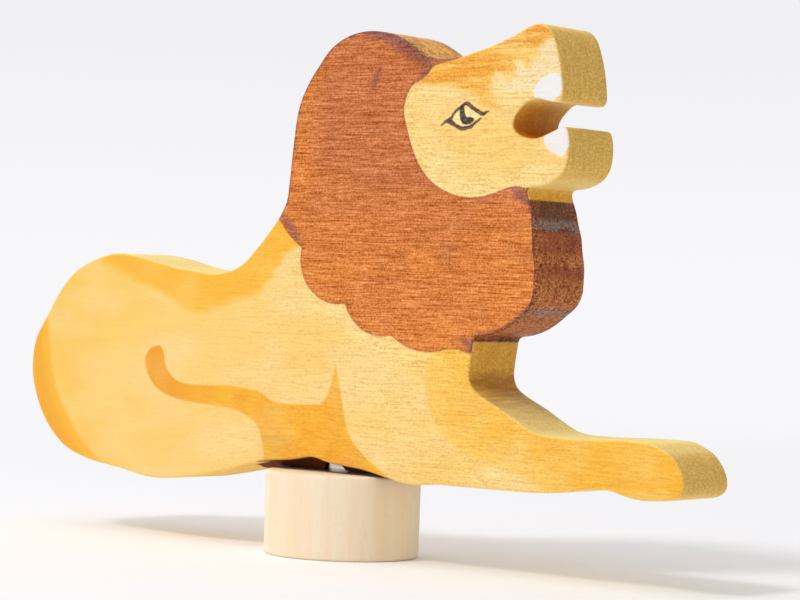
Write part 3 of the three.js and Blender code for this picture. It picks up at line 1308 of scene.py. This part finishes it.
        # The mouth's wall: brown paint pooled there, and painted shade darkening it lower down.
        mouth = (self.attribute("mouth") + self.ring.sway(1.2)).step(-0.5, 0.9)
        pooled_paint_and_shade = self.mix(self.height.step(0.775, 0.825), paints.mouth_paint_and_shade_brown, paints.mouth_gold)
        self.lay(pooled_paint_and_shade, mouth * self.rim)
        under = self.height.step(0.10, 0.08) * self.length.step(0.44, 0.36)
        self.lay(paints.amber_light, under * self.rim, strength=0.6)
        # Painted shade: dark brown on the arch and its rib, over the base.
        over_base = self.length.step(0.390, 0.398) | self.in_from_face.step(2.0, 2.6)
        self.lay(paints.arch_shade_brown, self.attribute("arch").step(-0.2, 0.2) * over_base * self.rim)

    def mane_fur(self) -> NodeSocket:
        """Mixes the mane's browns on the broad faces.

        Returns:
            The colour.
        """
        paints = self.paints
        warm = self.height.step(0.74, 0.50) | self.length.step(0.50, 0.44)
        warm = warm * 0.8 + self.cloud.sway(1.0) + self.band.sway(0.9)
        fur = self.mix(warm, paints.mane, paints.mane_orange)
        smudge = (self.attribute("smudge") + self.patch.sway(2.0) + self.bleed).step(-0.6, 0.7)
        fur = self.mix(smudge * 0.6, fur, paints.violet)
        border = (self.mane + self.bleed).step(0.5, -0.1) * 0.3
        edge = (self.from_edge + self.bleed).step(0.6, 0.0) * 0.7
        return self.mix(border | edge, fur, paints.violet)

    def mane_coat(self) -> NodeSocket:
        """Mixes the whole mane: fur, crest, and the chest's painted light-and-shade bands, which run onto
        the face.

        Returns:
            The colour.
        """
        paints = self.paints
        crest = (self.length + self.band.sway(0.1)).step(0.53, 0.57) * self.height.step(0.89, 0.92)
        gilt = crest * self.band.step(0.3, 0.6).between(0.6, 1.0)
        sides = self.mix(gilt, paints.umber, paints.crest_gold)
        wavy = self.height + self.speckle.sway(0.012) + self.ring.sway(0.02)
        # Bands of painted light and shade, with painted sheen, across the chest's sawn edge.
        bands = self.node("ShaderNodeValToRGB", {0: wavy}, stops=paints.chest_light_and_shade_bands())
        sides = self.mix(self.chest, sides, bands.outputs["Color"])
        bulge = self.height.step(0.39, 0.47) * self.height.step(0.64, 0.54)
        over_face = self.length.step(0.765, 0.785) * bulge * 0.85 - self.from_edge
        near_face = self.in_from_face + over_face
        sides = self.mix(near_face.step(2.2, 1.0) * 0.3, sides, paints.tan)
        ragged = near_face + self.speckle.sway(3.0)
        sides = self.mix(ragged.step(0.9, 0.3) * 0.7, sides, paints.wine)
        return self.mix(self.rim | over_face.step(-0.06, 0.06), self.mane_fur(), sides)

    def paint_fine_marks(self) -> None:
        """Paints the teeth and the eye."""
        paints = self.paints
        self.lay(paints.white, (self.tooth + self.bleed * 0.25).step(-0.18, 0.12) * self.face)
        self.lay(paints.eye_cream, self.attribute("eye_white").step(0.0, 0.2), strength=0.7)
        worn = self.dash.step(0.66, 0.40).between(0.84, 0.98)
        ragged = self.dash.sway(0.3)
        self.lay(paints.lid_ink, (self.attribute("lids") + ragged).step(-0.10, 0.05) * worn)
        self.lay(paints.pupil_ink, (self.attribute("pupil") + ragged).step(-0.12, 0.04) * worn)

    def grain_level(self, mane: Channel) -> Channel:
        """Weighs how strongly the grain lightens and darkens the paint.

        Args:
            mane: Where the mane is.

        Returns:
            The level of the stain.
        """
        paints = self.paints
        beside_mane = self.mane.step(-3.2, -0.8) * paints.fringe_grain
        raised = beside_mane + self.brow.step(-0.4, 0.5) * paints.brow_grain + paints.straw_grain
        under_tooth = 1 - self.tooth.step(-0.1, 0.1) * paints.tooth_cover
        raised = self.open_grain * raised * (1 - mane) * under_tooth + mane * paints.mane_grain
        streaks = self.thread.sway(1.3) + self.dash.sway(0.7) + self.speckle.sway(0.8)
        cut = self.end_grain * (1 - mane) + mane
        weight = cut * paints.sawn_cut + paints.sawn_least + mane * paints.sawn_mane
        weight = weight + mane * self.chest * paints.sawn_chest
        sawn = (self.ring.sway(0.9) + self.speckle.sway(1.6)) * weight
        return streaks * raised * self.face + sawn * self.rim

    def build(self) -> Material:
        """Lays all coats in order.

        Returns:
            The material.
        """
        paints = self.paints
        self.wash_straw()
        self.paint_amber()
        self.stain_rim()
        self.lay(paints.pore, self.pore.step(0.56, 0.72) * self.open_grain * self.face, strength=0.38)
        bare = self.attribute("bare_rim").step(-0.15, 0.15) * self.rim.step(0.3, 0.7)
        mane = (self.mane + self.bleed * 0.6).step(-0.10, 0.10) * (1 - bare)
        self.lay(self.mane_coat(), mane)
        # Painted sheen: glints on flecks in the mane.
        self.lay(paints.mane_sheen_fleck, mane * self.face * self.dash.step(0.60, 0.80), strength=0.2)
        self.paint_fine_marks()
        self.stain(self.grain_level(mane))
        roughness = paints.roughness + self.dash.sway(0.2) - mane * 0.05
        return self.finish(roughness, self.thread * 0.5 + self.dash * 0.5, paints.relief, MATT)


@dataclass(frozen=True)
class BareWood:
    """Pale bare wood, sanded, with its fibres upright."""

    pale: Colour = paint(255, 238, 210)
    warm: Colour = paint(251, 222, 186)
    pore: Colour = paint(226, 192, 154)
    upright: Axes = (1.0, 1.0, 0.07)
    pore_stretch: Axes = (1.0, 1.0, 0.12)
    roughness: float = 0.55
    relief: float = 0.015

    def material(self) -> Material:
        """Mixes the wood.

        Returns:
            The material.
        """
        shader = ShaderBuilder("bare_wood", self.pale)
        broad = shader.noise(self.upright, per_mm=0.45, detail=2.0, roughness=0.5, seed=11.0)
        fibre = shader.noise(self.upright, per_mm=3.0, detail=3.0, roughness=0.65, seed=12.0)
        pores = shader.noise(self.pore_stretch, per_mm=6.5, detail=1.0, roughness=0.5, seed=13.0)
        shader.lay(self.warm, broad.step(0.35, 0.65), strength=0.6)
        shader.lay(self.warm, fibre.step(0.45, 0.75), strength=0.35)
        shader.lay(self.pore, pores.step(0.60, 0.74), strength=0.22)
        roughness = self.roughness + fibre.sway(0.2)
        return shader.finish(roughness, fibre * 0.6 + pores * 0.4, self.relief, MATT)


@dataclass(frozen=True)
class PolishedSteel:
    """Drawn steel wire, polished, with faint marks round it."""

    bright: Colour = paint(214, 212, 214)
    dull: Colour = paint(184, 182, 186)
    ring_stretch: Axes = (0.05, 0.05, 1.0)
    roughness: float = 0.14
    relief: float = 0.004

    def material(self) -> Material:
        """Mixes the metal.

        Returns:
            The material.
        """
        shader = ShaderBuilder("polished_steel", self.bright)
        rings = shader.noise(self.ring_stretch, per_mm=6.0, detail=2.0, roughness=0.6, seed=21.0)
        shader.lay(self.dull, rings.step(0.35, 0.65))
        return shader.finish(self.roughness + rings * 0.12, rings, self.relief, {"Metallic": 1.0})


# Studio


@dataclass(frozen=True)
class Lamp:
    """A square lamp that shines on the figure.

    Its level is how bright it makes a white card that faces it, 1 for white. Its azimuth and its elevation
    are in degrees, and azimuth is 0 from the front and positive to the right.
    """

    name: str
    level: float
    azimuth: float
    elevation: float
    away_m: float
    side_m: float
    aim_m: float = 0.03

    def hang(self) -> None:
        """Puts the lamp into the scene."""
        lamp = bpy.data.lights.new(self.name, "AREA")
        lamp.shape = "SQUARE"
        lamp.size = self.side_m
        lamp.energy = self.level * (math.pi * self.away_m) ** 2
        a, e = math.radians(self.azimuth), math.radians(self.elevation)
        back = Vector((math.sin(a) * math.cos(e), -math.cos(a) * math.cos(e), math.sin(e)))
        holder = add_object(self.name, lamp)
        holder.location = back * self.away_m + Vector((0.0, 0.0, self.aim_m))
        holder.rotation_euler = back.to_track_quat("Z", "Y").to_euler()
        holder.visible_camera = False


@dataclass
class Studio:
    """A pale floor that fades into the backdrop, soft light from the front, and the camera."""

    backdrop_low: Colour = paint(248, 247, 250)
    backdrop_high: Colour = paint(240, 239, 242)
    backdrop_fade: tuple[float, float] = (0.0, 0.11)
    floor_colour: Colour = paint(252, 252, 255)
    floor_reach_m: float = 6.0
    floor_sides: int = 96
    floor_fade_m: tuple[float, float] = (0.07, 0.45)
    sky: Colour = (1.0, 1.0, 1.0, 1.0)
    sky_level: float = 0.60
    sky_lean: float = 0.45
    lamps: tuple[Lamp, ...] = (
        Lamp("key", level=0.27, azimuth=-14.0, elevation=50.0, away_m=1.2, side_m=0.22),
        Lamp("top", level=0.25, azimuth=-40.0, elevation=70.0, away_m=1.5, side_m=1.5),
    )
    lens_mm: float = 124.06
    sensor_mm: float = 36.0
    nearest_m: float = 0.01
    camera_place_m: Axes = (0.228358, -0.272146, 0.034899)
    camera_turn_degrees: Axes = (89.69834, -2.13619, 38.97856)

    def light_world(self) -> None:
        """Sets the soft light from all round, and the backdrop that lenses, metal and glass see."""
        world = bpy.data.worlds.new("studio")
        world.use_nodes = True
        bpy.context.scene.world = world
        builder = TreeBuilder(world.node_tree)
        world.node_tree.nodes.clear()
        direction = builder.node("ShaderNodeTexCoord").outputs["Generated"]
        place = builder.node("ShaderNodeSeparateXYZ", {0: direction}).outputs
        up = Channel(builder, place["Z"])
        tint = builder.mix(up.step(*self.backdrop_fade), self.backdrop_low, self.backdrop_high)
        seen = builder.node("ShaderNodeBackground", {"Color": tint, "Strength": 1.0})
        leaning = (1 - Channel(builder, place["X"]) * self.sky_lean) * self.sky_level
        sky = builder.node("ShaderNodeBackground", {"Color": self.sky, "Strength": leaning})
        rays = builder.node("ShaderNodeLightPath").outputs
        clear = (
            Channel(builder, rays["Is Camera Ray"])
            | Channel(builder, rays["Is Glossy Ray"])
            | Channel(builder, rays["Is Transmission Ray"])
        )
        both = builder.node("ShaderNodeMixShader", {0: clear, 1: sky.outputs[0], 2: seen.outputs[0]})
        builder.node("ShaderNodeOutputWorld", {"Surface": both.outputs[0]})

    def lay_floor(self) -> None:
        """Lays a round floor whose rim takes the backdrop's colour."""
        mesh = bpy.data.meshes.new("studio_floor")
        work = bmesh.new()
        bmesh.ops.create_circle(work, cap_ends=True, segments=self.floor_sides, radius=self.floor_reach_m)
        work.to_mesh(mesh)
        work.free()
        floor = add_object("studio_floor", mesh)
        shader = ShaderBuilder("studio_floor", self.floor_colour)
        away = shader.node("ShaderNodeVectorMath", {0: shader.coordinates}, operation="LENGTH")
        fade = Channel(shader, away.outputs["Value"]).step(*self.floor_fade_m)
        card = shader.node("ShaderNodeBsdfDiffuse", {"Color": shader.colour})
        glow = shader.node("ShaderNodeEmission", {"Color": self.backdrop_low, "Strength": 1.0})
        rays = shader.node("ShaderNodeLightPath").outputs
        seen = Channel(shader, rays["Is Camera Ray"]) | Channel(shader, rays["Is Glossy Ray"])
        both = shader.node("ShaderNodeMixShader", {0: fade * seen, 1: card.outputs[0], 2: glow.outputs[0]})
        shader.node("ShaderNodeOutputMaterial", {"Surface": both.outputs[0]})
        mesh.materials.append(shader.material)

    def set_camera(self) -> None:
        """Puts the camera where the photographer's was."""
        lens = bpy.data.cameras.new("camera")
        lens.sensor_width = self.sensor_mm
        lens.lens = self.lens_mm
        lens.clip_start = self.nearest_m
        camera = add_object("camera", lens)
        camera.location = self.camera_place_m
        camera.rotation_euler = [math.radians(turn) for turn in self.camera_turn_degrees]
        bpy.context.scene.camera = camera

    def build(self) -> None:
        """Makes the whole studio."""
        bpy.context.scene.view_settings.view_transform = "Standard"
        self.light_world()
        self.lay_floor()
        for lamp in self.lamps:
            lamp.hang()
        self.set_camera()


def seat(piece: Object, body: str, node: str) -> None:
    """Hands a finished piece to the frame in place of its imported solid.

    Args:
        piece: The finished piece.
        body: The body it moves with.
        node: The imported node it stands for.
    """
    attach(piece, body)
    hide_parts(node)
    log.info("%s: %d faces, on %s", piece.name, len(piece.data.polygons), body)


def main() -> None:
    """Builds the studio and the three pieces in order."""
    logging.basicConfig(level=logging.INFO)
    Studio().build()
    lathe = lathe_tree()
    sanding = sanding_tree()
    bore = {"bore_radius": 2.4, "bore_depth": 6.8}
    base = TurnedPiece("turned_base", "wooden_base", "base", "bare_wood", sides=192, edge_round=0.4, **bore)
    pin = TurnedPiece("steel_pin", "metal_pin", "pin", "steel_pin", sides=64, edge_round=0.35)
    for piece, finish in ((base, BareWood()), (pin, PolishedSteel())):
        made = piece.build(lathe, finish.material())
        seat(made, piece.body, piece.node)
    board = SawnBoard()
    lion = board.build()
    board.bore(lion)
    sizes = {"Hollow": board.hollow * MM, "Depth": board.hollow_depth * MM}
    sanding.apply(lion, {**sizes, "Material": LionPaint().material()})
    face_outwards(lion)
    board.mark(lion)
    seat(lion, board.body, board.node)


if __name__ == "__main__":
    main()
